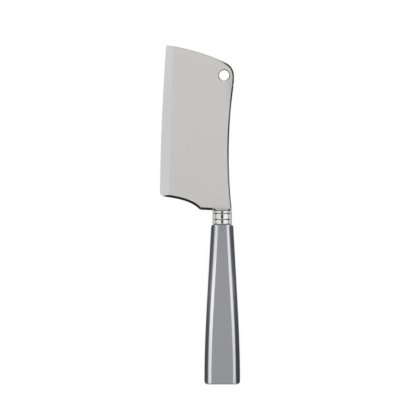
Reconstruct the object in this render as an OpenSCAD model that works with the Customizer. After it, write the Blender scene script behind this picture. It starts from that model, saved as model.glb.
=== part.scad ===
// A cheese cleaver. A bevelled blade with a hanging hole runs on as a flat tang, through
// a ribbed ferrule, into a bore in a flared handle, and is glued there.
// The knife lies on its side: X runs across it, the cutting edge towards -X, Y runs along
// it from the butt to the tip, and Z runs up through its thickness.
// The origin is under the middle of the knife, on the surface that it lies on.

/* [Blade] */
// Length of the blade, from the ferrule to the tip corner
blade_l = 97.5; // [80:0.5:118]
// Thickness of the blade and of its tang
blade_t = 1.8; // [1.5:0.1:2.4]
// Distance from the knife's axis to the cutting edge at the tip corner
tip_depth = 33; // [27:0.1:40]
// Distance from the axis to the cutting edge at the heel
heel_depth = 36.7; // [30:0.1:44]
// Bulge of the cutting edge past a straight line
edge_belly = 0.7; // [0.3:0.05:1.5]
// Thickness left at the cutting edge
edge_t = 0.3; // [0.2:0.05:0.6]
// Width of the ground bevel at the tip corner
bevel_tip_w = 4.4; // [3:0.1:6]
// Width of the ground bevel at the heel
bevel_heel_w = 5.2; // [3.5:0.1:7]

/* [Heel and spine] */
// Height of the heel above the ferrule
heel_h = 8; // [6:0.1:10]
// Radius of the corner between the cutting edge and the heel
heel_r = 3; // [2:0.1:4]
// Distance from the axis to the notch where the heel's curve starts
neck_depth = 13.2; // [10:0.1:16]
// Rise of the notch above the ferrule
neck_rise = 0.4; // [0.2:0.05:0.8]
// Hollow of the spine below a straight line
spine_hollow = 2.2; // [1:0.1:3]
// Distance from the axis to the spine where the shoulder starts
shoulder_reach = 6.5; // [5:0.1:8]
// Drop from the tip corner to the start of the shoulder
shoulder_drop = 25.6; // [20:0.1:31]
// Drop from the tip corner to the end of the shoulder
crown_drop = 8.5; // [6.5:0.1:10.5]
// Distance from the end of the shoulder to the axis
crown_back = 2; // [1:0.1:3]
// Bulge of the top edge past a straight line
crown_rise = 1; // [0.5:0.1:1.5]

/* [Chamfers] */
// Width of the chamfer along the heel and the neck
heel_chamfer_w = 1.3; // [0.8:0.05:1.6]
// Depth of the chamfer along the heel and the neck
heel_chamfer_h = 0.7; // [0.4:0.05:0.75]
// Width of the chamfer along the spine
spine_chamfer_w = 0.75; // [0.5:0.05:1]
// Depth of the chamfer along the spine
spine_chamfer_h = 0.5; // [0.3:0.05:0.7]
// Width of the chamfer along the top edge
crown_chamfer_w = 0.4; // [0.2:0.05:0.6]
// Depth of the chamfer along the top edge
crown_chamfer_h = 0.4; // [0.2:0.05:0.6]

/* [Hanging hole] */
// Diameter of the hole
hole_d = 6; // [4:0.1:7]
// Drop from the tip corner to the hole's centre
hole_drop = 17.9; // [15:0.1:21]
// Steel between the hole and the spine, measured to the shoulder's start
hole_wall = 2.4; // [2:0.1:4]
// Chamfer round the hole
hole_chamfer = 0.3; // [0.1:0.05:0.5]

/* [Ferrule] */
// Length of the ferrule
ferrule_l = 8.3; // [6.5:0.1:10]
// Diameter over the beads
ferrule_d = 11.4; // [10.5:0.1:13.5]
// Rise of each bead above the grooves
bead_rise = 0.35; // [0.2:0.05:0.5]
// Thickness of the end plate that the tang passes through
plate_t = 1.5; // [1:0.1:2]

/* [Handle] */
// Length of the handle
handle_l = 94.2; // [78:0.1:112]
// Width of the handle at the butt
butt_w = 21.2; // [17.5:0.1:25]
// Width of the handle at the ferrule
neck_w = 13.1; // [12:0.1:15.5]
// Thickness of the handle
handle_t = 14; // [12:0.1:16]
// Width of each long corner, from the side of the handle to its flat front
corner_w = 4.6; // [4:0.1:5.2]
// Slope of the long corners
corner_slope = 40; // [34:1:46]
// Radius between the flat front and a corner's slope
front_r = 4.2; // [2.5:0.1:5]
// Radius between a corner's slope and the side
side_r = 1.5; // [0.8:0.1:2]
// Radius of the butt's corners, seen from the front
butt_r = 2.1; // [1:0.1:3]
// Radius of the corners at the ferrule, seen from the front
neck_r = 1.5; // [1:0.1:2.2]
// How far the front falls away at both ends
end_fall = 0.5; // [0.2:0.05:0.8]

/* [Tang] */
// Width of the tang where it passes through the ferrule
tang_root_w = 7.4; // [6.5:0.1:7.8]
// Width of the tang inside the handle
tang_w = 6; // [5:0.1:6.6]
// Length of the tang inside the handle
tang_l = 55; // [45:0.5:66]
// Radius of the notches that key the glue
notch_r = 0.8; // [0.5:0.1:1]
// Glue between the tang's corners and its bore
glue_gap = 0.15; // [0.1:0.05:0.2]
// Play between the tang and the slot in the ferrule
slot_gap = 0.05; // [0.03:0.01:0.08]
// Depth of the bore past the tang's end
glue_end = 1.5; // [1:0.1:3]
// Distance from the tang's step to the handle
step_gap = 1; // [0.5:0.1:2]

/* [Hidden] */
$fn = 96;

// What each cutter runs past the face that it cuts
over = 1;

// Points on each stretch of the blade's outline
EDGE_POINTS = 16;
CORNER_POINTS = 8;
HEEL_POINTS = 18;
SPINE_POINTS = 18;
SHOULDER_POINTS = 14;
CROWN_POINTS = 10;

// Where the middle two handles of the heel's curve stand, as shares of its run and its fall
heel_curve_shares = [[0.44, 0.17], [0.78, 0.375]];
// How full the shoulder is, as a share of the way to the corner that it rounds
shoulder_share = 0.85;
// How the handle narrows: shares of its length from the butt, and of the width it loses
flare_shares = [[0, 0], [0.28, 0], [0.45, 0.3], [1, 1]];
// Length of each bead, as shares of the ferrule from the handle to the blade
bead_shares = [0.37, 0.41, 0.22];
// Places of the tang's notches, as shares of its length inside the handle
notch_shares = [0.3, 0.55, 0.8];
// A corner of the outline turns by more than this, as the sine of its angle
CORNER_SINE = 0.25;
// Angle between the axis and the cone at the bottom of the handle's bore
drill_angle = 59;

ferrule_y = handle_l;
blade_y = ferrule_y + ferrule_l;
overall_l = blade_y + blade_l;
ferrule_r = ferrule_d / 2;
groove_r = ferrule_r - bead_rise;
hole_pos = [shoulder_reach - hole_wall - hole_d / 2, blade_l - hole_drop];

// The tang's corners just clear the round bores that the glue fills
cavity_r = norm([tang_root_w, blade_t]) / 2 + glue_gap;
bore_r = norm([tang_w, blade_t]) / 2 + glue_gap;
bore_l = tang_l + glue_end;
drill_tip_l = bore_r / tan(drill_angle);

// A vector turned by a quarter turn to the left
function left(v) = [-v.y, v.x];
function unit(v) = v / norm(v);

// An arc from a to b that bulges by rise to the right of the way, or to the left below zero
function arc(a, b, rise, count) =
    let (half = norm(b - a) / 2, r = (half * half + rise * rise) / (2 * abs(rise)),
         along = unit(b - a), out = -sign(rise) * left(along), swing = asin(half / r))
    [for (i = [0:count]) let (turn = swing * (2 * i / count - 1))
        (a + b) / 2 + along * r * sin(turn) + out * (r * cos(turn) - r + abs(rise))];

// A cubic curve through its first and last handles
function curve(p, count) =
    [for (i = [0:count]) let (t = i / count, s = 1 - t)
        s * s * s * p[0] + 3 * s * s * t * p[1] + 3 * s * t * t * p[2] + t * t * t * p[3]];

// Where the line from p along u meets the line from q along v
function meeting(p, u, q, v) = p + u * ((q - p) * left(v)) / (u * left(v));

// All points but the last, which starts the next stretch
function open_end(p) = [for (i = [0:len(p) - 2]) p[i]];
function joined(lists) = [for (list = lists) each list];
function repeated(value, list) = [for (i = list) value];

// The blade's outline, counterclockwise from the tip corner, with y = 0 on the ferrule
tip = [-tip_depth, blade_l];
heel_foot = [-heel_depth + heel_r, heel_h];
notch = [-neck_depth, neck_rise];
spine_foot = [ferrule_r, 0];
shoulder_start = [shoulder_reach, blade_l - shoulder_drop];
shoulder_end = [-crown_back, blade_l - crown_drop];

edge_line = arc(tip, heel_foot + [-heel_r, heel_r], edge_belly, EDGE_POINTS);
heel_corner = [for (i = [0:CORNER_POINTS])
    heel_foot + heel_r * [cos(180 + 90 * i / CORNER_POINTS), 1 + sin(180 + 90 * i / CORNER_POINTS)]];
heel_run = notch - heel_foot;
heel_line = curve([heel_foot,
    for (share = heel_curve_shares) heel_foot + [share[0] * heel_run.x, share[1] * heel_run.y],
    notch], HEEL_POINTS);
neck_line = [notch, [-ferrule_r, 0], spine_foot];
spine_line = arc(spine_foot, shoulder_start, -spine_hollow, SPINE_POINTS);
crown_line = arc(shoulder_end, tip, crown_rise, CROWN_POINTS);
shoulder_corner = meeting(
    shoulder_start, spine_line[SPINE_POINTS] - spine_line[SPINE_POINTS - 1],
    shoulder_end, crown_line[0] - crown_line[1]);
shoulder_line = curve([shoulder_start,
    shoulder_start + shoulder_share * (shoulder_corner - shoulder_start),
    shoulder_end + shoulder_share * (shoulder_corner - shoulder_end),
    shoulder_end], SHOULDER_POINTS);
stretches = [for (line = [edge_line, heel_corner, heel_line, neck_line, spine_line,
    shoulder_line, crown_line]) open_end(line)];
outline = joined(stretches);

// Width and depth of the chamfer on each stretch, as [width, depth]
heel_chamfer = [heel_chamfer_w, heel_chamfer_h];
spine_chamfer = [spine_chamfer_w, spine_chamfer_h];
crown_chamfer = [crown_chamfer_w, crown_chamfer_h];
function graded(from, to, list) =
    [for (i = [0:len(list) - 1]) from + (to - from) * i / len(list)];
chamfers = joined([
    repeated(crown_chamfer, stretches[0]),
    graded(crown_chamfer, heel_chamfer, stretches[1]),
    repeated(heel_chamfer, stretches[2]),
    repeated(heel_chamfer, stretches[3]),
    repeated(spine_chamfer, stretches[4]),
    graded(spine_chamfer, crown_chamfer, stretches[5]),
    repeated(crown_chamfer, stretches[6])]);

// The way into the blade from the side that starts at point i, and the outline moved in
// by each side's chamfer width
function inward(p, i) = left(unit(p[(i + 1) % len(p)] - p[i]));
function inset(p, chamfer) = [for (i = [0:len(p) - 1])
    let (h = (i + len(p) - 1) % len(p), a = inward(p, h), b = inward(p, i),
         wa = chamfer[h][0], wb = chamfer[i][0], sine = a.x * b.y - a.y * b.x)
    p[i] + (abs(sine) > CORNER_SINE
        ? [wa * b.y - wb * a.y, wb * a.x - wa * b.x] / sine
        : (a + b) * (wa + wb) / 2 / (1 + a * b))];
face_outline = inset(outline, chamfers);
land_z = [for (i = [0:len(outline) - 1]) let (h = (i + len(outline) - 1) % len(outline))
    blade_t / 2 - (chamfers[h][1] + chamfers[i][1]) / 2];

// The knife's middle, from its reach to each side of the axis
reach_x = [for (p = outline) p.x];
middle_x = (min(reach_x) + max(max(reach_x), butt_w / 2)) / 2;
row_place = [-middle_x, -overall_l / 2, handle_t / 2];

module in_row() {
    translate(row_place) children();
}

// A closed skin over rings of points, each with as many points as the first, and each
// counterclockwise seen from the last ring's side
module skin(rings) {
    count = len(rings[0]);
    last = len(rings) - 1;
    polyhedron(
        points = joined(rings),
        faces = [
            [for (i = [0:count - 1]) i],
            for (k = [0:last - 1], i = [0:count - 1])
                let (j = (i + 1) % count)
                    [k * count + j, k * count + i, (k + 1) * count + i, (k + 1) * count + j],
            [for (i = [count - 1:-1:0]) last * count + i]]);
}

// The blade before its bevel is ground: flat, with a chamfer along each side
module blade_blank() {
    skin([
        [for (p = face_outline) [p.x, p.y, -blade_t / 2]],
        [for (i = [0:len(outline) - 1]) [outline[i].x, outline[i].y, -land_z[i]]],
        [for (i = [0:len(outline) - 1]) [outline[i].x, outline[i].y, land_z[i]]],
        [for (p = face_outline) [p.x, p.y, blade_t / 2]]]);
}

// Where the bevel's line on the face starts and ends
bevel_top = [-tip_depth + bevel_tip_w, blade_l];
bevel_foot = [-heel_depth + bevel_heel_w, heel_h];

// A triangle across the bevel at the edge point p. Its long side passes through the bevel's
// line and the edge, and runs on past both.
function bevel_section(p) =
    let (line_x = lookup(p.y, [[bevel_foot.y, bevel_foot.x], [bevel_top.y, bevel_top.x]]),
         slope = (blade_t - edge_t) / 2 / (line_x - p.x),
         high = [line_x + over, p.y, blade_t / 2 + over * slope],
         low = [p.x - over, p.y, edge_t / 2 - over * slope])
    [high, [low.x, p.y, high.z], low];

// What the grinder takes off the upper face, from the bevel's line down to the edge
module bevel_cut() {
    skin([
        bevel_section([tip.x, tip.y + over]),
        for (p = edge_line) bevel_section(p),
        bevel_section([-heel_depth, 0])]);
}

// The hole and the chamfer round each of its mouths
module hanging_hole() {
    translate([hole_pos.x, hole_pos.y, 0]) {
        cylinder(r = hole_d / 2, h = blade_t + 2 * over, center = true);
        for (side = [0, 1])
            mirror([0, 0, side])
                translate([0, 0, blade_t / 2 - hole_chamfer])
                    cylinder(r1 = hole_d / 2, r2 = hole_d / 2 + hole_chamfer + over,
                        h = hole_chamfer + over);
    }
}

// The tang, with y = 0 on the ferrule: it reaches up into the blade and down into the handle
module tang() {
    root_l = ferrule_l - step_gap;
    end_y = -ferrule_l - tang_l;
    linear_extrude(height = blade_t, center = true)
        difference() {
            union() {
                translate([-tang_root_w / 2, -root_l])
                    square([tang_root_w, root_l + 2 * heel_chamfer_w]);
                translate([-tang_w / 2, end_y + tang_w / 2])
                    square([tang_w, tang_l + ferrule_l - tang_w / 2]);
                translate([0, end_y + tang_w / 2])
                    circle(r = tang_w / 2);
            }
            for (share = notch_shares, side = [-1, 1])
                translate([side * tang_w / 2, -ferrule_l - share * tang_l])
                    circle(r = notch_r);
        }
}

module blade() {
    color("silver")
        translate([0, blade_y, 0]) {
            difference() {
                union() {
                    blade_blank();
                    tang();
                }
                for (side = [0, 1])
                    mirror([0, 0, side])
                        bevel_cut();
                hanging_hole();
            }
        }
}

// A cylinder along the knife's axis, from y upwards
module along_axis(y, r, l) {
    translate([0, y, 0])
        rotate([-90, 0, 0])
            cylinder(r = r, h = l);
}

// How far along the ferrule each bead ends
bead_ends = [0, bead_shares[0], bead_shares[0] + bead_shares[1], 1] * ferrule_l;
BEAD_POINTS = 8;

// Half of the ferrule's outer section: one arc for each bead, between the grooves
function bead_section() = [
    [0, 0],
    for (i = [0:len(bead_shares) - 1])
        each open_end(arc([groove_r, bead_ends[i]], [groove_r, bead_ends[i + 1]],
            bead_rise, BEAD_POINTS)),
    [groove_r, ferrule_l],
    [0, ferrule_l]];

module ferrule() {
    color("gainsboro")
        difference() {
            translate([0, ferrule_y, 0])
                rotate([-90, 0, 0])
                    rotate_extrude()
                        polygon(bead_section());
            along_axis(ferrule_y - over, cavity_r, ferrule_l - plate_t + over);
            translate([0, ferrule_y + ferrule_l, 0])
                cube([tang_root_w + 2 * slot_gap, 2 * (plate_t + over),
                    blade_t + 2 * slot_gap], center = true);
        }
}

// Steps round a corner's two radii, on each end's fillet, and along the handle
FRONT_STEPS = 6;
SIDE_STEPS = 4;
END_STEPS = 5;
BODY_STEPS = 12;

// One corner of the handle's section, from the flat front down to the side, measured from
// the corner of the box that the section fills
slope_start = [front_r * sin(corner_slope) - corner_w, front_r * (cos(corner_slope) - 1)];
slope_end_x = side_r * (sin(corner_slope) - 1);
slope_end = [slope_end_x,
    slope_start.y - (slope_end_x - slope_start.x) * tan(corner_slope)];
corner_points = [
    for (i = [0:FRONT_STEPS]) let (turn = corner_slope * i / FRONT_STEPS)
        [front_r * sin(turn) - corner_w, front_r * (cos(turn) - 1)],
    for (i = [0:SIDE_STEPS]) let (turn = corner_slope + (90 - corner_slope) * i / SIDE_STEPS)
        slope_end + side_r * [sin(turn) - sin(corner_slope), cos(turn) - cos(corner_slope)]];

// The same corner at all four places, as [side, face, point], clockwise seen from the butt
corner_places = [
    for (i = [0:len(corner_points) - 1]) [1, 1, i],
    for (i = [len(corner_points) - 1:-1:0]) [1, -1, i],
    for (i = [0:len(corner_points) - 1]) [-1, -1, i],
    for (i = [len(corner_points) - 1:-1:0]) [-1, 1, i]];

// The handle's section at y, w wide, drawn in by take.x at the sides and take.y at the faces
function section(y, w, take) = [for (place = corner_places) let (p = corner_points[place[2]])
    [place[0] * (w / 2 + p.x) * (1 - 2 * take.x / w),
     y,
     place[1] * (handle_t / 2 + p.y) * (1 - 2 * take.y / handle_t)]];

flare = curve([for (share = flare_shares)
    [share[0] * handle_l, butt_w + share[1] * (neck_w - butt_w)]], BODY_STEPS);

// The handle's width at y, between the two points of the flare that y lies between
function width_at(y) = lookup(y, flare);

// How far step i of a fillet of radius r lies from the end, and how far it is drawn in
function end_place(r, i) = r * (1 - sin(90 * i / END_STEPS));
function end_take(r, i) = [r, end_fall] * (1 - cos(90 * i / END_STEPS));

handle_rings = [
    for (i = [END_STEPS:-1:0]) let (y = end_place(butt_r, i))
        section(y, width_at(y), end_take(butt_r, i)),
    for (p = flare) if (p.x > butt_r && p.x < handle_l - neck_r)
        section(p.x, p.y, [0, 0]),
    for (i = [0:END_STEPS]) let (y = handle_l - end_place(neck_r, i))
        section(y, width_at(y), end_take(neck_r, i))];

module handle_bore() {
    along_axis(handle_l - bore_l, bore_r, bore_l + over);
    translate([0, handle_l - bore_l, 0])
        rotate([90, 0, 0])
            cylinder(r1 = bore_r, r2 = 0, h = drill_tip_l);
}

module handle() {
    color("slategray")
        difference() {
            skin(handle_rings);
            handle_bore();
        }
}

// The cured glue fills both bores round the tang
module tang_adhesive() {
    color("wheat")
        difference() {
            union() {
                intersection() {
                    handle_bore();
                    along_axis(0, handle_t, handle_l);
                }
                along_axis(ferrule_y, cavity_r, ferrule_l - plate_t);
            }
            translate([0, blade_y, 0])
                tang();
        }
}

in_row() blade();
in_row() ferrule();
in_row() handle();
in_row() tang_adhesive();
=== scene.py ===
# A small cheese cleaver lying on a white floor: a ground blade, a beaded ferrule and a pearly handle.
# Pieces are modelled in millimetres round the knife's axis, and then put in their place in metres.
import math

import bmesh
import bpy
from mathutils import Matrix, Vector
from mathutils.geometry import interpolate_bezier


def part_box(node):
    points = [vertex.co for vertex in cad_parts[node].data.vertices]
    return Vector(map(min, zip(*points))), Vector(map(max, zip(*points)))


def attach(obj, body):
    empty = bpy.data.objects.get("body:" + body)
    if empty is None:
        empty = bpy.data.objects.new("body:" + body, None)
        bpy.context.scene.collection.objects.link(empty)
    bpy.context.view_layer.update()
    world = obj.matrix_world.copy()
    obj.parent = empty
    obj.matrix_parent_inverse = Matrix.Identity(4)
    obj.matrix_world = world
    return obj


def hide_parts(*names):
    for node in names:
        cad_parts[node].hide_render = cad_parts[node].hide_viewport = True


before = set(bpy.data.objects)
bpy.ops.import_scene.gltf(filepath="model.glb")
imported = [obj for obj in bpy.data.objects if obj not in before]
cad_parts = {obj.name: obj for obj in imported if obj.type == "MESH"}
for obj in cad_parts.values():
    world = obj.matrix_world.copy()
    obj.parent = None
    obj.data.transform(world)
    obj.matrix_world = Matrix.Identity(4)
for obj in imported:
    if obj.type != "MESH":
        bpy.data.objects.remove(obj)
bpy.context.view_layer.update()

# A millimetre in metres, and in millimetres how near vertices lie to be welded or on a plane
MM, WELD, ON_PLANE = 0.001, 1e-4, 1e-5

# The blade, with y = 0 on the ferrule and x = 0 on the knife's axis
BLADE_L, BLADE_HALF_T = 97.5, 0.9
TIP_DEPTH, HEEL_DEPTH, EDGE_BELLY, EDGE_HALF_T = 33, 36.7, 0.7, 0.15
BEVEL_TIP_W, BEVEL_HEEL_W = 4.4, 5.2
HEEL_H, HEEL_R, NECK_DEPTH, NECK_RISE = 8, 3, 13.2, 0.4
SPINE_HOLLOW, SHOULDER_REACH, SHOULDER_DROP = 2.2, 6.5, 25.6
CROWN_DROP, CROWN_BACK, CROWN_RISE = 8.5, 2, 1
HEEL_SHARES = ((0.44, 0.17), (0.78, 0.375))
SHOULDER_SHARE = 0.85
HOLE_X, HOLE_DROP, HOLE_R = 1.1, 17.9, 3

# Width and depth of the chamfers, which along the spine grow towards the corner by the hole
HEEL_CUT, NECK_CUT = Vector((1.5, 0.78)), Vector((1.3, 0.75))
SPINE_CUT, CROWN_CUT = Vector((0.84, 0.75)), Vector((0.4, 0.4))
CORNER_CUT = Vector((1.02, 0.85))
HOLE_CUT, TANG_CUT = Vector((0.5, 0.46)), Vector((0.05, 0.05))
# The least height and share that a chamfer keeps, and the rounding of its corners
LEAST_CUT, ROUNDING = 0.04, 0.04

# The tang below the ferrule's end plate
TANG_ROOT_W, TANG_W, TANG_L, STEP_GAP, NOTCH_R = 7.4, 6, 55, 1, 0.8
NOTCH_SHARES = (0.3, 0.55, 0.8)

# The ferrule, with y = 0 on the handle
FERRULE_L, FERRULE_R, BEAD_RISE, PLATE_T = 8.3, 5.7, 0.35, 1.5
BEAD_SHARES = (0.352, 0.428, 0.22)
BEAD_ROUND, GROOVE_W, GROOVE_DEPTH, NECK_GROOVE_W = 0.2, 0.27, 0.15, 0.3
SLOT_HALF, CAVITY_R, CAVITY_LIP = (3.75, 0.95), 3.96, 0.1

# The handle, with y = 0 on the butt
HANDLE_L, HANDLE_HALF_T, BUTT_W, NECK_W = 94.2, 7, 21.2, 13.1
CORNER_W, SLOPE, FRONT_R, SIDE_R = 4.6, math.radians(40), 4.2, 0.6
FRONT_LOW_Z = HANDLE_HALF_T - FRONT_R * (1 - math.cos(SLOPE))
BUTT_R, NECK_R, END_FALL, SLOPE_SLIDE, BUTT_INSET = 2.1, 1.5, 0.5, 1.6, 0.4
FLARE_SHARES, FLARE_ROWS = ((0, 0), (0.28, 0), (0.45, 0.3), (1, 1)), 61
BORE_R, BORE_L, DRILL_TIP_L = 3.28, 56.5, 1.97

# How many sides the round parts get, and the steps of the handle's rounded ends
HOLE_STEPS, TURN_STEPS, BORE_STEPS, FILLET_STEPS = 96, 128, 92, 8

# How far towards a corner a curve's two handles stand, to round it as a circle does
QUARTER_SHARE = 0.5523

# Colours of the finishes
WHITE = (1, 1, 1, 1)
FACE_DARK, FACE_LIGHT = (0.561, 0.556, 0.545, 1), (0.769, 0.761, 0.746, 1)
BEVEL_STEEL = (0.552, 0.551, 0.562, 1)
CHROME, CHROME_RIM = (0.6, 0.598, 0.592, 1), (0.25, 0.25, 0.26, 1)
# Painted shade for the grooves between the beads and the crevice by the blade
GROOVE_SHADE = (0.17, 0.17, 0.18, 1)
PEARL_WARM, PEARL_COOL = (0.42, 0.415, 0.447, 1), (0.405, 0.42, 0.438, 1)
PEARL_PALE = (0.51, 0.503, 0.54, 1)
GLUE_HAZY, GLUE_CLEAR = (0.86, 0.82, 0.70, 1), (0.78, 0.73, 0.58, 1)
FLOOR_WHITE, FLOOR_THIN, FLOOR_GLOW = (0.85, 0.85, 0.85, 1), (0.2, 0.2, 0.2, 1), 0.85

# Painted light: the steel's colour grows brighter towards the tip, and a painted shade darkens it
# beside the spine near the hole
PAINTED_LIGHT_BASE, PAINTED_LIGHT_PER_M, SPINE_SHADE_DEPTH = 0.957, 0.99, 0.14
SPINE_SHADE_RIGHT_OF, SPINE_SHADE_ALONG = (0.0005, 0.006), (0.066, 0.083, 0.006)

# The camera's lens, and the width and middle of its picture on the knife's plane in metres
LENS, SENSOR_W = 500, 36
PICTURE_W, PICTURE_X, PICTURE_Y = 0.23585, -0.00004, 0.0086

# The studio in metres, and how bright the tent's panels are, where its white cloth is 1. The
# lit strips for the handle's corners add to the cloth.
FLOOR_R, TENT_R, LOW_DIMMING = 8, 1, 0.35
SIDE_LEFT, SIDE_RIGHT, NEAR_LEFT, NEAR_RIGHT, NECK_LEFT, NECK_RIGHT = 0.6, 0.4, 1.25, 0.95, 0.4, 0.6
NECK_ROUND_LEVEL, FRONT_LEVEL, FRONT_GAIN = 2.0, 0.595, 0.08
SLOPE_LEFT, SLOPE_RIGHT = 0.1, 0.04
SKIRTING_LEVEL, SPINE_GAP_LEVEL, TIP_GAP_LEVEL = 0.05, 0.18, 0.7
HEEL_LEVEL, FRONT_ENDS_LEVEL = 0.015, 0.05
BEADS_LEFT, BEADS_RIGHT, BEADS_MIDDLE = 1.13, 1.34, 0.06
BEADS_LOW_LEFT, BEADS_LOW_RIGHT = 0.3, 0.08


# Tools for modelling

class Outline:
    """A chain of vertices in the XY plane, drawn stretch by stretch, with a chamfer noted for
    each side."""

    def __init__(self, x, y):
        self.bm = bmesh.new()
        self.last = self.bm.verts.new((x, y, 0))
        self.cuts = []

    def curve(self, handle_a, handle_b, end, steps, cuts=(TANG_CUT, TANG_CUT)):
        start = self.last.co.xy
        for place in interpolate_bezier(start, handle_a, handle_b, end, steps + 1)[1:]:
            vert = self.bm.verts.new((*place.xy, 0))
            self.bm.edges.new((self.last, vert))
            self.last = vert
        self.cuts += [cuts[0].lerp(cuts[1], i / steps) for i in range(steps)]

    def bow(self, end, rise, steps, cuts=(TANG_CUT, TANG_CUT)):
        """A shallow arc that bulges by rise to the right of the way."""
        start, end = self.last.co.xy, Vector(end)
        way = end - start
        out = Vector((way.y, -way.x)).normalized() * rise * 4 / 3
        self.curve(start + way / 3 + out, end - way / 3 + out, end, steps, cuts)

    def line(self, end, cuts=(TANG_CUT, TANG_CUT), steps=1):
        self.bow(end, 0, steps, cuts)

    def quarter(self, corner, end, steps, cuts=(TANG_CUT, TANG_CUT)):
        """A quarter of a circle that rounds the corner."""
        start, end, corner = self.last.co.xy, Vector(end), Vector(corner)
        self.curve(start.lerp(corner, QUARTER_SHARE), end.lerp(corner, QUARTER_SHARE), end,
                   steps, cuts)

    def turn(self, centre, angle, steps):
        """An arc round the centre, with angles above zero to the left."""
        made = bmesh.ops.spin(self.bm, geom=[self.last], cent=(*centre, 0), axis=(0, 0, 1),
                              angle=angle, steps=steps)
        self.last = made["geom_last"][0]

    def close(self):
        """Joins the last vertex to the first, which it lies on, and gives the closed chain."""
        bmesh.ops.remove_doubles(self.bm, verts=self.bm.verts, dist=WELD)
        self.bm.verts.ensure_lookup_table()
        return self.bm


def parts(geom, kind):
    """The vertices, edges or faces among what an operation gave back."""
    return [item for item in geom if isinstance(item, kind)]


def edges_at(verts):
    """The edges that end at these vertices, each once and in their own order."""
    return list(dict.fromkeys(edge for vert in verts for edge in vert.link_edges))


def extruded(bm, ring, place):
    """Extrudes a ring of edges, and puts each new vertex where place says from the old one."""
    made = bmesh.ops.extrude_edge_only(bm, edges=ring)["geom"]
    verts = set(parts(made, bmesh.types.BMVert))
    for vert in verts:
        vert.co = place(vert)
    return [edge for edge in parts(made, bmesh.types.BMEdge) if verts.issuperset(edge.verts)]


def crisp(bm, degrees):
    """Smooth shading, but not over edges where the faces turn by more than this."""
    for face in bm.faces:
        face.smooth = True
    for edge in bm.edges:
        edge.smooth = edge.calc_face_angle(0) < math.radians(degrees)


def settle_order(bm):
    """Sorts the mesh by place, because extruding adds faces in an order that varies by run."""
    def corners(item):
        return sorted(vert.index for vert in item.verts)

    for items, key in ((bm.verts, lambda vert: vert.co[:]), (bm.edges, corners),
                       (bm.faces, corners)):
        for rank, item in enumerate(sorted(items, key=key)):
            item.index = rank
        items.sort()


def finished(bm, name, origin, finish, node):
    """A piece modelled in millimetres, put at its origin in the frame instead of the CAD node."""
    bm.transform(Matrix.Translation(origin) @ Matrix.Scale(MM, 4))
    bmesh.ops.recalc_face_normals(bm, faces=bm.faces)
    settle_order(bm)
    mesh = bpy.data.meshes.new(name)
    bm.to_mesh(mesh)
    bm.free()
    mesh.materials.append(finish)
    piece = bpy.data.objects.new(name, mesh)
    bpy.context.scene.collection.objects.link(piece)
    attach(piece, "root")
    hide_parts(node)


# Tools for the finishes

class Field:
    """A number, colour or vector that varies over a surface. Arithmetic adds Math nodes."""

    def __init__(self, finish, socket):
        self.finish, self.socket = finish, socket

    def math(self, operation, *others):
        inputs = dict(enumerate((self, *others)))
        return self.finish.node("Math", {"operation": operation}, inputs)

    def __add__(self, other):
        return self.math("ADD", other)

    def __sub__(self, other):
        return self.math("SUBTRACT", other)

    def __rsub__(self, other):
        return self.finish.node("Math", {"operation": "SUBTRACT"}, {0: other, 1: self})

    def __mul__(self, other):
        return self.math("MULTIPLY", other)

    def __truediv__(self, other):
        return self.math("DIVIDE", other)

    def __abs__(self):
        return self.math("ABSOLUTE")

    __radd__, __rmul__ = __add__, __mul__

    def rise(self, start, end):
        """0 at start and 1 at end, eased, and held outside."""
        return self.finish.node("MapRange", {"interpolation_type": "SMOOTHSTEP"},
                                {"Value": self, "From Min": start, "From Max": end})

    def band(self, start, end, soft):
        """1 between start and end, and 0 beyond the soft borders."""
        return self.rise(start - soft, start + soft) * self.rise(end + soft, end - soft)


class Finish:
    """A material's nodes. Each is added by its kind, its settings and what feeds its sockets."""

    def __init__(self, name):
        self.material = bpy.data.materials.new(name)
        self.material.use_nodes = True
        self.tree = self.material.node_tree
        self.tree.nodes.clear()

    def node(self, kind, settings, inputs, output=0):
        made = self.tree.nodes.new("ShaderNode" + kind)
        for name, value in settings.items():
            setattr(made, name, value)
        for name, value in inputs.items():
            if isinstance(value, Field):
                self.tree.links.new(value.socket, made.inputs[name])
            else:
                made.inputs[name].default_value = value
        return Field(self, made.outputs[output]) if made.outputs else None

    def place(self):
        return self.node("TexCoord", {}, {}, "Object")

    def axes(self, vector):
        """A vector's three numbers."""
        return [self.node("SeparateXYZ", {}, {0: vector}, i) for i in range(3)]

    def scaled(self, vector, by, offset=(0, 0, 0)):
        return self.node("VectorMath", {"operation": "MULTIPLY_ADD"}, {0: vector, 1: by, 2: offset})

    def noise(self, vector, by, detail, roughness, offset=(0, 0, 0)):
        """Noise with so many cells to the metre along each axis."""
        return self.node("TexNoise", {}, {"Vector": self.scaled(vector, by, offset), "Scale": 1.0,
                                          "Detail": detail, "Roughness": roughness})

    def mix(self, share, a, b):
        """Colour a where the share is 0, and b where it is 1."""
        return self.node("Mix", {"data_type": "RGBA"}, {0: share, 6: a, 7: b}, 2)

    def bump(self, height, distance):
        return self.node("Bump", {}, {"Height": height, "Distance": distance})

    def shade(self, **sockets):
        """The surface shader, with underscores for the blanks in its sockets' names."""
        inputs = {name.replace("_", " "): value for name, value in sockets.items()}
        return self.done(self.node("BsdfPrincipled", {}, inputs))

    def done(self, shader):
        self.node("OutputMaterial", {}, {"Surface": shader})
        return self.material


# Places in the frame

ferrule_low, ferrule_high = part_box("ferrule")
AXIS_X = (ferrule_low.x + ferrule_high.x) / 2
AXIS_Z = (ferrule_low.z + ferrule_high.z) / 2
HANDLE_ORIGIN = Vector((AXIS_X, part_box("handle")[0].y, AXIS_Z))
FERRULE_ORIGIN = Vector((AXIS_X, ferrule_low.y, AXIS_Z))
BLADE_ORIGIN = Vector((AXIS_X, ferrule_high.y, AXIS_Z))

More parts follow.
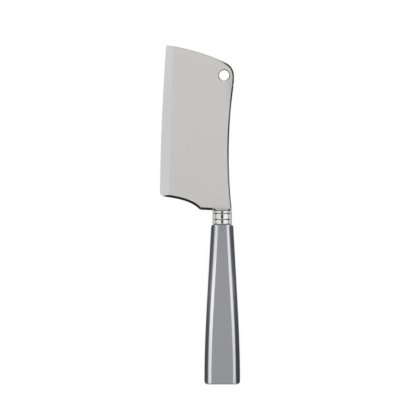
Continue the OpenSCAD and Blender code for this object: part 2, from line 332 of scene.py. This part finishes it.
BEVEL_TOP = Vector((-TIP_DEPTH + BEVEL_TIP_W, BLADE_L))
BEVEL_FOOT = Vector((-HEEL_DEPTH + BEVEL_HEEL_W, HEEL_H))
BEVEL_WAY = (BEVEL_TOP - BEVEL_FOOT).normalized()
BEVEL_OUT = Vector((-BEVEL_WAY.y, BEVEL_WAY.x))


# The finishes

def steel_finish():
    """Satin steel with its grain along the blade, finer on the bevel, and polished chamfers."""
    f = Finish("satin_steel")
    place = f.place()
    x, y = f.axes(place)[:2]
    facing = abs(f.axes(f.node("NewGeometry", {}, {}, "Normal"))[2])
    foot = BLADE_ORIGIN.xy + BEVEL_FOOT * MM
    past_line = (x - foot.x) * BEVEL_OUT.x + (y - foot.y) * BEVEL_OUT.y
    flat = facing.rise(0.93, 0.97)
    bevel = past_line.rise(-0.00005, 0.00005) * flat
    # A thin painted shade along the line where the face meets the bevel
    shoulder_shade = past_line.band(-0.0004, 0.0001, 0.0003) * flat
    streaks = f.noise(place, (5200, 70, 900), 3.0, 0.6)
    long_streaks = f.noise(place, (1100, 14, 300), 2.0, 0.5, (7, 3, 1))
    clouds = f.noise(place, (38, 26, 30), 2.0, 0.5, (2, 9, 4))
    tone = (long_streaks - 0.5) * 0.05 + (clouds - 0.5) * 0.06 - shoulder_shade * 0.06
    face_colour = f.mix(tone + 0.5, FACE_DARK, FACE_LIGHT)
    # Painted light and shade: brighter towards the tip, and a painted shade beside the spine near the
    # hole
    spine_shade = (x - AXIS_X).rise(*SPINE_SHADE_RIGHT_OF) * y.band(*SPINE_SHADE_ALONG)
    painted_light = y * PAINTED_LIGHT_PER_M + PAINTED_LIGHT_BASE - spine_shade * SPINE_SHADE_DEPTH
    colour = f.scaled(f.mix(bevel, face_colour, BEVEL_STEEL), painted_light)
    satin = 0.42 + (streaks - 0.5) * 0.1 - bevel * 0.07
    roughness = flat * satin + (1 - flat) * 0.07
    return f.shade(Base_Color=colour, Metallic=1.0, Roughness=roughness,
                   Normal=f.bump(streaks * flat, 0.000006))


def chrome_finish():
    """Bright chrome, with painted shade, darker and rougher, in the grooves and in the crevice by the
    blade.
    """
    f = Finish("bright_chrome")
    place = f.place()
    x, y, z = f.axes(place)
    across, up = x - AXIS_X, z - AXIS_Z
    radius = (across * across + up * up).math("SQRT")
    groove_r = (FERRULE_R - BEAD_RISE) * MM
    groove = radius.rise(groove_r + 0.00005, groove_r - 0.00005)
    plate_y = FERRULE_ORIGIN.y + FERRULE_L * MM
    # Painted shade in the crevice where the blade meets the end plate
    crevice_shade = y.rise(plate_y - 0.0001, plate_y - 0.00004) * abs(up).rise(0.0022, 0.0014)
    smears = f.noise(place, (260, 90, 260), 3.0, 0.6)
    painted_shade = groove.math("MAXIMUM", crevice_shade)
    colour = f.mix(painted_shade, CHROME, GROOVE_SHADE)
    roughness = 0.025 + smears * 0.015 + painted_shade * 0.1
    return f.shade(Base_Color=colour, Metallic=1.0, Roughness=roughness,
                   Specular_Tint=CHROME_RIM, Normal=f.bump(smears, 0.000002))


def pearl_finish():
    """Moulded pearl grey: flakes lie in soft clouds along the handle, under a clear polished skin."""
    f = Finish("pearl_grey")
    place = f.place()
    warp = f.noise(place, (55, 18, 55), 2.0, 0.5)
    swirl = f.node("TexNoise", {}, {"Vector": f.scaled(place, (120, 22, 120)), "Scale": 1.0,
                                    "Detail": 3.0, "Distortion": 1.2})
    flakes = f.noise(place, (4200, 1500, 4200), 1.0, 0.5)
    cloud = f.mix(swirl.rise(0.3, 0.7), PEARL_WARM, PEARL_COOL)
    colour = f.mix((warp - 0.5) * 0.25 + 0.3, cloud, PEARL_PALE)
    return f.shade(Base_Color=colour, Metallic=0.95, Roughness=0.15 + (flakes - 0.5) * 0.05,
                   Coat_Weight=0.5, Coat_Roughness=0.03, Coat_IOR=1.5,
                   Normal=f.bump(flakes, 0.000003))


def glue_finish():
    """Cured clear glue, faintly yellow, with small bubbles."""
    f = Finish("cured_glue")
    place = f.place()
    bubbles = f.node("TexVoronoi", {}, {"Vector": place, "Scale": 900.0}, "Distance")
    haze = f.noise(place, (160, 60, 160), 3.0, 0.6)
    colour = f.mix(haze, GLUE_HAZY, GLUE_CLEAR)
    return f.shade(Base_Color=colour, Roughness=0.22 + haze * 0.2,
                   Normal=f.bump(bubbles.rise(0.0, 0.35), 0.00005))


# The blade

def ground_z(x, y):
    """Half of the blade's thickness at a place on its face, which the bevel makes thinner."""
    fall = min(1, (BLADE_L - y) / (BLADE_L - HEEL_H - HEEL_R))
    edge_x = -TIP_DEPTH - (HEEL_DEPTH - TIP_DEPTH) * fall - 4 * EDGE_BELLY * fall * (1 - fall)
    line_x = BEVEL_FOOT.x + (y - BEVEL_FOOT.y) * BEVEL_WAY.x / BEVEL_WAY.y
    share = (x - edge_x) / (line_x - edge_x)
    return EDGE_HALF_T + (BLADE_HALF_T - EDGE_HALF_T) * max(0, min(1, share))


def meeting(p, u, q, v):
    """Where the line from p along u meets the line from q along v."""
    return p + u * ((q - p).cross(v) / u.cross(v))


def blade_outline():
    """The outline of the blade and its tang, counterclockwise from the tip corner."""
    def both(cut):
        return cut, cut

    heel_foot = Vector((-HEEL_DEPTH + HEEL_R, HEEL_H))
    notch = Vector((-NECK_DEPTH, NECK_RISE))
    o = Outline(-TIP_DEPTH, BLADE_L)
    o.bow((-HEEL_DEPTH, HEEL_H + HEEL_R), EDGE_BELLY, 30, both(CROWN_CUT))
    o.quarter((-HEEL_DEPTH, HEEL_H), heel_foot, 12, (CROWN_CUT, HEEL_CUT))
    run = notch - heel_foot
    handles = [heel_foot + Vector((share[0] * run.x, share[1] * run.y)) for share in HEEL_SHARES]
    o.curve(*handles, notch, 40, both(HEEL_CUT))
    o.line((-FERRULE_R, 0), both(HEEL_CUT), 8)
    o.line((-TANG_ROOT_W / 2, 0), both(NECK_CUT), 2)
    draw_tang(o)
    o.line((FERRULE_R, 0), both(NECK_CUT), 2)
    shoulder_start = Vector((SHOULDER_REACH, BLADE_L - SHOULDER_DROP))
    shoulder_end = Vector((-CROWN_BACK, BLADE_L - CROWN_DROP))
    o.bow(shoulder_start, -SPINE_HOLLOW, 36, (SPINE_CUT, CORNER_CUT))
    spine_way = shoulder_start - Vector((FERRULE_R, 0))
    spine_out = Vector((spine_way.y, -spine_way.x)).normalized() * SPINE_HOLLOW * 4
    crown_way = Vector((-TIP_DEPTH, BLADE_L)) - shoulder_end
    crown_out = Vector((crown_way.y, -crown_way.x)).normalized() * CROWN_RISE * 4
    corner = meeting(shoulder_start, spine_way + spine_out, shoulder_end, crown_way + crown_out)
    o.curve(shoulder_start.lerp(corner, SHOULDER_SHARE), shoulder_end.lerp(corner, SHOULDER_SHARE),
            shoulder_end, 28, both(CORNER_CUT))
    o.bow((-TIP_DEPTH, BLADE_L), CROWN_RISE, 24, (CORNER_CUT, CROWN_CUT))
    return o


def draw_tang(o):
    """Draws the tang from the left of its root down to its end and up to the right of its root."""
    step_y = STEP_GAP - FERRULE_L
    end_y = -FERRULE_L - TANG_L
    half = TANG_W / 2
    o.line((-TANG_ROOT_W / 2, -HEEL_CUT.x))
    o.line((-TANG_ROOT_W / 2, step_y), steps=4)
    for side in (-1, 1):
        if side < 0:
            o.line((-half, step_y), steps=2)
        for share in NOTCH_SHARES[::-side]:
            y = -FERRULE_L - share * TANG_L
            bottom = (side * (half - NOTCH_R), y)
            o.line((side * half, y - side * NOTCH_R), steps=6)
            o.quarter((bottom[0], y - side * NOTCH_R), bottom, 6)
            o.quarter((bottom[0], y + side * NOTCH_R), (side * half, y + side * NOTCH_R), 6)
        if side < 0:
            o.line((-half, end_y + half), steps=4)
            o.quarter((-half, end_y), (0, end_y), 8)
            o.quarter((half, end_y), (half, end_y + half), 8)
    o.line((half, step_y), steps=6)
    o.line((TANG_ROOT_W / 2, step_y), steps=2)
    o.line((TANG_ROOT_W / 2, -HEEL_CUT.x), steps=4)
    o.line((TANG_ROOT_W / 2, 0))


def drawn_in(before, here, after, cut_a, cut_b):
    """How a corner of the outline moves in, for the widths of the chamfers beside it. Where the
    outline turns sharply, the two chamfers' inner lines meet there."""
    a, b = [Vector((-way.y, way.x)).normalized() for way in (here - before, after - here)]
    sine = a.cross(b)
    if abs(sine) > 0.25:
        return Vector((cut_a.x * b.y - cut_b.x * a.y, cut_b.x * a.x - cut_a.x * b.x)) / sine
    return (a + b) * (cut_a.x + cut_b.x) / 2 / (1 + a.dot(b))


def rounded_chamfer(width, depth, top):
    """The section of a chamfer, as places in from the wall and up from the middle plane. It is
    cut off at the height top, and its corners are rounded."""
    land = BLADE_HALF_T - depth
    share = max((top - land) / depth, LEAST_CUT)
    low = Vector((0, min(land, top - LEAST_CUT)))
    high = Vector((width * share, top))
    slope = (high - low).normalized()
    q = min(ROUNDING, 0.3 * low.y, 0.3 * (high - low).length)
    up, inward = Vector((0, q)), Vector((q, 0))
    section = [low - 2 * up, low - up]
    section += [(low - up) / 4 + low / 2 + (low + slope * q) / 4, low + slope * q]
    section += [low + slope * 1.6 * q, high - slope * 1.6 * q, high - slope * q]
    section += [(high - slope * q) / 4 + high / 2 + (high + inward) / 4, high + inward]
    return section


def make_blade():
    """The chamfered rim, the hole and both ground faces, of which the lower mirrors the upper."""
    outline = blade_outline()
    cuts = outline.cuts
    bm = outline.close()
    station = bm.verts.layers.int.new("station")
    corners = [vert.co.xy for vert in bm.verts]
    count = len(corners)
    sections = []
    for i, here in enumerate(corners):
        shift = drawn_in(corners[i - 1], here, corners[(i + 1) % count], cuts[i - 1], cuts[i])
        depth = (cuts[i - 1].y + cuts[i].y) / 2
        section = rounded_chamfer(shift.length, depth, ground_z(*here))
        sections.append([(*(here + shift.normalized() * point.x), point.y) for point in section])
        bm.verts[i][station] = i
    ring = bm.edges[:]
    for step in range(len(sections[0])):
        ring = extruded(bm, ring, lambda vert: Vector(sections[vert[station]][step]))

    hole_y = BLADE_L - HOLE_DROP
    section = [Vector((0, 0)), *rounded_chamfer(*HOLE_CUT, BLADE_HALF_T)]
    verts = [bm.verts.new((HOLE_X + HOLE_R + point.x, hole_y, point.y)) for point in section]
    edges = [bm.edges.new(pair) for pair in zip(verts, verts[1:])]
    bmesh.ops.spin(bm, geom=verts + edges, cent=(HOLE_X, hole_y, 0), axis=(0, 0, 1),
                   angle=math.tau, steps=HOLE_STEPS, use_merge=True)
    for face in bm.faces:
        face.smooth = True

    rims = [edge for edge in bm.edges if edge.is_boundary and edge.verts[0].co.z > LEAST_CUT]
    filled = bmesh.ops.triangle_fill(bm, edges=rims, use_beauty=True, normal=(0, 0, 1))["geom"]
    filled += [vert for face in parts(filled, bmesh.types.BMFace) for vert in face.verts]
    cut = bmesh.ops.bisect_plane(bm, geom=list(dict.fromkeys(filled)), dist=ON_PLANE,
                                 plane_co=(*BEVEL_FOOT, 0), plane_no=(*BEVEL_OUT, 0))
    for vert in parts(cut["geom_cut"], bmesh.types.BMVert):
        vert.co.z = BLADE_HALF_T
    for face in parts(cut["geom"], bmesh.types.BMFace):
        face.smooth = False
    bmesh.ops.mirror(bm, geom=bm.verts[:] + bm.edges[:] + bm.faces[:], merge_dist=WELD, axis="Z")
    finished(bm, "cleaver_blade", BLADE_ORIGIN, steel_finish(), "blade")


# The ferrule

def make_ferrule():
    """The turned beads, the cavity and the end plate with the tang's slot."""
    groove_r = FERRULE_R - BEAD_RISE
    o = Outline(CAVITY_R, FERRULE_L - PLATE_T)
    o.line((CAVITY_R, 0))
    o.line((groove_r - CAVITY_LIP, 0))
    start = 0
    for share in BEAD_SHARES:
        end = start + share * FERRULE_L
        low, high = max(start + GROOVE_W / 2, GROOVE_W), end - GROOVE_W / 2
        if end > FERRULE_L - GROOVE_W:
            high = FERRULE_L - NECK_GROOVE_W
        o.line((groove_r, low))
        o.quarter((FERRULE_R, low), (FERRULE_R, low + BEAD_ROUND), 6)
        o.line((FERRULE_R, high - BEAD_ROUND), steps=12)
        o.quarter((FERRULE_R, high), (groove_r, high), 6)
        o.line((groove_r - GROOVE_DEPTH, high + GROOVE_W * 0.3))
        if end < FERRULE_L - GROOVE_W:
            o.line((groove_r - GROOVE_DEPTH, end + GROOVE_W / 5))
        start = end
    o.line((groove_r - GROOVE_DEPTH, FERRULE_L))
    bm = o.bm
    bmesh.ops.spin(bm, geom=bm.verts[:] + bm.edges[:], cent=(0, 0, 0), axis=(0, 1, 0),
                   angle=math.tau, steps=TURN_STEPS, use_merge=True)
    rims = [edge for edge in bm.edges if edge.is_boundary]
    upright = Matrix.Translation((0, FERRULE_L, 0)) @ Matrix.Rotation(math.pi / 2, 4, "X")
    slot = bmesh.ops.create_grid(bm, x_segments=1, y_segments=1, size=1, matrix=upright
                                 @ Matrix.Diagonal((*SLOT_HALF, 1, 1)))["verts"]
    bmesh.ops.delete(bm, geom=slot[0].link_faces[:], context="FACES_ONLY")
    made = bmesh.ops.subdivide_edges(bm, edges=edges_at(slot), cuts=7)["geom_inner"]
    sides = edges_at(parts(made, bmesh.types.BMVert))
    below = extruded(bm, sides, lambda vert: vert.co - Vector((0, PLATE_T, 0)))
    for loop, y in ((sides, FERRULE_L), (below, FERRULE_L - PLATE_T)):
        rim = [edge for edge in rims if abs(edge.verts[0].co.y - y) < 0.1]
        bmesh.ops.bridge_loops(bm, edges=loop + rim)
    bmesh.ops.recalc_face_normals(bm, faces=bm.faces)
    crisp(bm, 32)
    finished(bm, "beaded_ferrule", FERRULE_ORIGIN, chrome_finish(), "ferrule")


# The handle

def handle_section():
    """The handle's section at the butt, drawn flat: two radii and a slope at each corner."""
    half_w = BUTT_W / 2
    side_x = half_w - SIDE_R
    front_low_x = half_w - CORNER_W + FRONT_R * math.sin(SLOPE)
    side_high = Vector((side_x + SIDE_R * math.sin(SLOPE), 0))
    side_high.y = FRONT_LOW_Z - (side_high.x - front_low_x) * math.tan(SLOPE)
    side_y = side_high.y - SIDE_R * math.cos(SLOPE)
    o = Outline(half_w - CORNER_W, HANDLE_HALF_T)
    o.turn((half_w - CORNER_W, HANDLE_HALF_T - FRONT_R), -SLOPE, 12)
    o.line(side_high)
    o.turn((side_x, side_y), SLOPE - math.pi / 2, 10)
    bm = o.bm
    for axis in "YX":
        bmesh.ops.mirror(bm, geom=bm.verts[:] + bm.edges[:], axis=axis)
    ends = [vert for vert in bm.verts if len(vert.link_edges) == 1]
    for side in (-1, 1):
        bm.edges.new([vert for vert in ends if vert.co.x * side > half_w - 0.1])
        bm.edges.new([vert for vert in ends
                      if vert.co.y * side > HANDLE_HALF_T - 0.1 and abs(vert.co.x) < half_w - 1])
    return bm


def fillet_steps(radius):
    """Places along the handle's end, and how far it is drawn in there at its sides and faces."""
    for i in range(FILLET_STEPS + 1):
        angle = math.pi / 2 * i / FILLET_STEPS
        take = 1 - math.cos(angle)
        yield radius * (1 - math.sin(angle)), Vector((radius * take, END_FALL * take * take))


def make_handle():
    """The section, drawn along the handle in rows that follow its flare and its rounded ends."""
    bm = handle_section()
    station = bm.verts.layers.int.new("station")
    section = [vert.co.copy() for vert in bm.verts]
    for i, vert in enumerate(bm.verts):
        vert[station] = i

    flare = interpolate_bezier(*[Vector((along * HANDLE_L, BUTT_W + share * (NECK_W - BUTT_W)))
                                 for along, share in FLARE_SHARES], FLARE_ROWS)

    def width_at(y):
        for a, b in zip(flare, flare[1:]):
            if y <= b.x:
                return a.y + (b.y - a.y) * (y - a.x) / (b.x - a.x)
        return NECK_W

    rows = [(y, take) for y, take in fillet_steps(BUTT_R)][::-1]
    rows += [(place.x, Vector((0, 0))) for place in flare if BUTT_R < place.x < HANDLE_L - NECK_R]
    rows += [(HANDLE_L - y, take) for y, take in fillet_steps(NECK_R)]

    def at(row, vert):
        """The slope's foot is drawn in along the slope, and the rest of the way with all else."""
        (y, take), base = row, section[vert[station]]
        half_w = width_at(y) / 2
        slide = min(take.x, SLOPE_SLIDE)
        x, z = abs(base.x) + half_w - BUTT_W / 2, abs(base.y)
        if z < FRONT_LOW_Z - 0.01:
            x, z = x - slide, z + slide * math.tan(SLOPE)
        x *= (half_w - take.x) / (half_w - slide)
        z *= 1 - take.y / HANDLE_HALF_T
        return Vector((math.copysign(x, base.x), y, math.copysign(z, base.y)))

    ring = bm.edges[:]
    for vert in bm.verts:
        vert.co = at(rows[0], vert)
    butt = bmesh.ops.contextual_create(bm, geom=ring)["faces"]
    bmesh.ops.inset_region(bm, faces=butt, thickness=BUTT_INSET, use_even_offset=True)
    ring = [edge for edge in ring if edge.is_boundary]
    for row in rows[1:]:
        ring = extruded(bm, ring, lambda vert: at(row, vert))
    crown = Matrix.Translation((0, HANDLE_L, 0)) @ Matrix.Rotation(-math.pi / 2, 4, "X")
    circle = bmesh.ops.create_circle(bm, segments=BORE_STEPS, radius=BORE_R, matrix=crown)
    mouth = edges_at(circle["verts"])
    bmesh.ops.bridge_loops(bm, edges=ring + mouth)
    wall = extruded(bm, mouth, lambda vert: vert.co - Vector((0, BORE_L, 0)))
    extruded(bm, wall, lambda vert: Vector((0, HANDLE_L - BORE_L - DRILL_TIP_L, 0)))
    bmesh.ops.remove_doubles(bm, verts=bm.verts, dist=WELD)
    bmesh.ops.recalc_face_normals(bm, faces=bm.faces)
    crisp(bm, 40)
    finished(bm, "pearl_handle", HANDLE_ORIGIN, pearl_finish(), "handle")


# The studio

def stage_piece(bm, name, material):
    mesh = bpy.data.meshes.new(name)
    bm.to_mesh(mesh)
    bm.free()
    mesh.materials.append(material)
    piece = bpy.data.objects.new(name, mesh)
    bpy.context.scene.collection.objects.link(piece)
    return piece


def floor_paint():
    """White floor. What looks at it straight or in a mirror sees it white, with a soft shadow."""
    f = Finish("floor_white")
    seen = f.node("LightPath", {}, {}, "Is Camera Ray") \
        + f.node("LightPath", {}, {}, "Is Glossy Ray") \
        + f.node("LightPath", {}, {}, "Is Transmission Ray")
    plain = f.node("BsdfDiffuse", {}, {"Color": FLOOR_WHITE})
    thin = f.node("BsdfDiffuse", {}, {"Color": FLOOR_THIN})
    glow = f.node("Emission", {}, {"Color": WHITE, "Strength": FLOOR_GLOW})
    shown = f.node("AddShader", {}, {0: thin, 1: glow})
    return f.done(f.node("MixShader", {}, {0: seen.math("MINIMUM", 1.0), 1: plain, 2: shown}))


def tent_paint():
    """The light tent's cloth: white, with lit and dark panels where the polished parts mirror it.
    A place on the tent is named in degrees, by its tilt from straight above, its bearing from
    the blade's tip or from the butt, its lean to the right and its slant to the tip."""
    f = Finish("tent_cloth")
    x, y, z = f.axes(f.place())
    degrees = math.degrees(1)
    lean = x.math("ARCTAN2", z) * degrees
    slant = (y / TENT_R).math("ARCSINE") * degrees
    bearing = x.math("ARCTAN2", y) * degrees
    from_butt = x.math("ARCTAN2", y * -1) * degrees
    tilt = (x * x + y * y).math("SQRT").math("ARCTAN2", z) * degrees
    left, right = lean.rise(0, -1), lean.rise(0, 1)

    def panel(light, share, level):
        """Puts a panel of one level over its share of the tent."""
        return light * (1 - share) + level * share

    # White cloth, a little dimmer low down
    light = 1.0 - tilt.rise(40, 76) * LOW_DIMMING
    # Lit strips for the handle's corners, brighter towards the ferrule
    handle_side = slant.rise(-0.65, -0.85) * slant.rise(-18, -10)
    near_ferrule = slant.rise(-4.8, -0.8)
    light = light + handle_side * (left * SIDE_LEFT + right * SIDE_RIGHT
                                   + near_ferrule * (left * NEAR_LEFT + right * NEAR_RIGHT))
    # The same for the corners at the neck, and lit panels for the neck's rounded end
    neck_side = slant.band(0.2, 5, 0.1) * abs(lean).rise(12, 30)
    light = light + neck_side * (left * NECK_LEFT + right * NECK_RIGHT)
    light = panel(light, abs(lean).band(34, 68, 8) * slant.band(6, 18, 3), NECK_ROUND_LEVEL)
    # A grey panel overhead for the handle's front, and dark ones beside the knife for its slopes
    light = panel(light, lean.band(-11, 13, 4), slant.rise(-8, -0.5) * FRONT_GAIN + FRONT_LEVEL)
    beside = slant.band(-12, 5, 2)
    light = panel(light, beside * left * tilt.rise(48, 80), SLOPE_LEFT)
    light = panel(light, beside * right * tilt.rise(43, 69), SLOPE_RIGHT)
    # A dark skirting for the chamfers, with a grey gap beside the spine and a light one at the tip
    low = tilt.rise(76, 80)
    light = panel(light, low, SKIRTING_LEVEL)
    light = panel(light, bearing.band(81, 86.8, 0.7) * low, SPINE_GAP_LEVEL)
    light = panel(light, abs(bearing).rise(30, 20) * tilt.rise(50, 60), TIP_GAP_LEVEL)
    # A dark panel for the heel's chamfer, and two for the rounded ends of the handle's front,
    # which also dim the blade a little
    light = panel(light, from_butt.band(-50, 12, 6) * tilt.band(51, 57.5, 1.5), HEEL_LEVEL)
    ends = slant.band(16, 34, 2) + slant.band(-54, -38, 3)
    light = panel(light, lean.band(-10, 10, 3) * ends, FRONT_ENDS_LEVEL)
    # The strip that the ferrule mirrors: lit at both sides, with a dark middle and dark ends
    in_line = slant.band(-0.64, 0.14, 0.04)
    light = panel(light, in_line, left * BEADS_LEFT + right * BEADS_RIGHT)
    light = panel(light, in_line * tilt.rise(77, 81),
                  left * BEADS_LOW_LEFT + right * BEADS_LOW_RIGHT)
    light = panel(light, in_line * lean.band(-14, 14, 2), BEADS_MIDDLE)
    return f.done(f.node("Emission", {}, {"Color": WHITE, "Strength": light}))


def make_studio():
    """The floor, the tent, which only polished parts see, and a white world."""
    bm = bmesh.new()
    bmesh.ops.create_circle(bm, cap_ends=True, segments=64, radius=FLOOR_R)
    stage_piece(bm, "floor", floor_paint())

    bm = bmesh.new()
    bmesh.ops.create_uvsphere(bm, u_segments=64, v_segments=32, radius=TENT_R)
    bmesh.ops.bisect_plane(bm, geom=bm.verts[:] + bm.edges[:] + bm.faces[:], plane_co=(0, 0, 0),
                           plane_no=(0, 0, 1), clear_inner=True)
    tent = stage_piece(bm, "light_tent", tent_paint())
    tent.visible_camera = tent.visible_diffuse = tent.visible_transmission = False
    tent.visible_shadow = tent.visible_volume_scatter = False

    world = bpy.data.worlds.new("white_studio")
    bpy.context.scene.world = world
    world.use_nodes = True
    background = world.node_tree.nodes["Background"]
    background.inputs["Color"].default_value = WHITE
    background.inputs["Strength"].default_value = 1.0


def make_camera():
    """Straight above, with a long lens."""
    data = bpy.data.cameras.new("camera")
    data.lens, data.sensor_width = LENS, SENSOR_W
    camera = bpy.data.objects.new("camera", data)
    camera.location = (PICTURE_X, PICTURE_Y, AXIS_Z + PICTURE_W * LENS / SENSOR_W)
    bpy.context.scene.collection.objects.link(camera)
    bpy.context.scene.camera = camera


def dress_glue():
    """The glue keeps its CAD solid and gets its finish."""
    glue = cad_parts["tang_adhesive"]
    glue.data.materials.clear()
    glue.data.materials.append(glue_finish())


make_camera()
make_studio()
make_blade()
make_ferrule()
make_handle()
dress_glue()
bpy.context.scene.view_settings.view_transform = "Standard"
